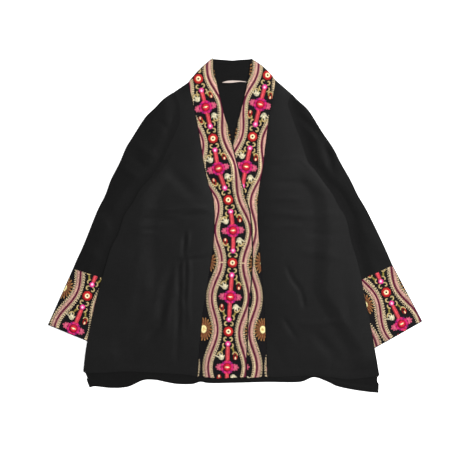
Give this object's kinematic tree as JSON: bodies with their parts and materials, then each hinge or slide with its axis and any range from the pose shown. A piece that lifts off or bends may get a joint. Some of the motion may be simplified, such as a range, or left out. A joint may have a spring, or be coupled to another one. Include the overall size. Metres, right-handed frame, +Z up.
{
  "type": "collarless jacket",
  "caption": "Thin black collarless jacket laid flat, with wide embroidered front bands and cuffs, long straight sleeves tucked under its sides and a longer wavy back hem.",
  "frame": {"origin": "centre of the bounding box at the surface that the jacket lies on", "axes": "+X towards the wearer's left sleeve, which is the viewer's right; +Y from hem to neck; +Z up out of the front side"},
  "size_m": [0.8212, 0.7362, 0.0075],
  "materials": {
    "black_silk": "thin plain-weave black silk with a soft low sheen",
    "embroidered_band": "black cloth covered with satin-stitch flowers and wavy ribbons in beige, rose, maroon, red and magenta",
    "label_tape": "thin pale pink-white woven tape, blank"
  },
  "bodies": {
    "root": {"back_panel": "black_silk", "front_right": "black_silk", "front_left": "black_silk", "sleeve_right": "black_silk", "sleeve_left": "black_silk", "cuff_right": "embroidered_band", "cuff_left": "embroidered_band", "band_right": "embroidered_band", "band_left": "embroidered_band", "neck_band": "embroidered_band", "neck_facing": "black_silk", "label_strip": "label_tape"}
  },
  "joints": []
}
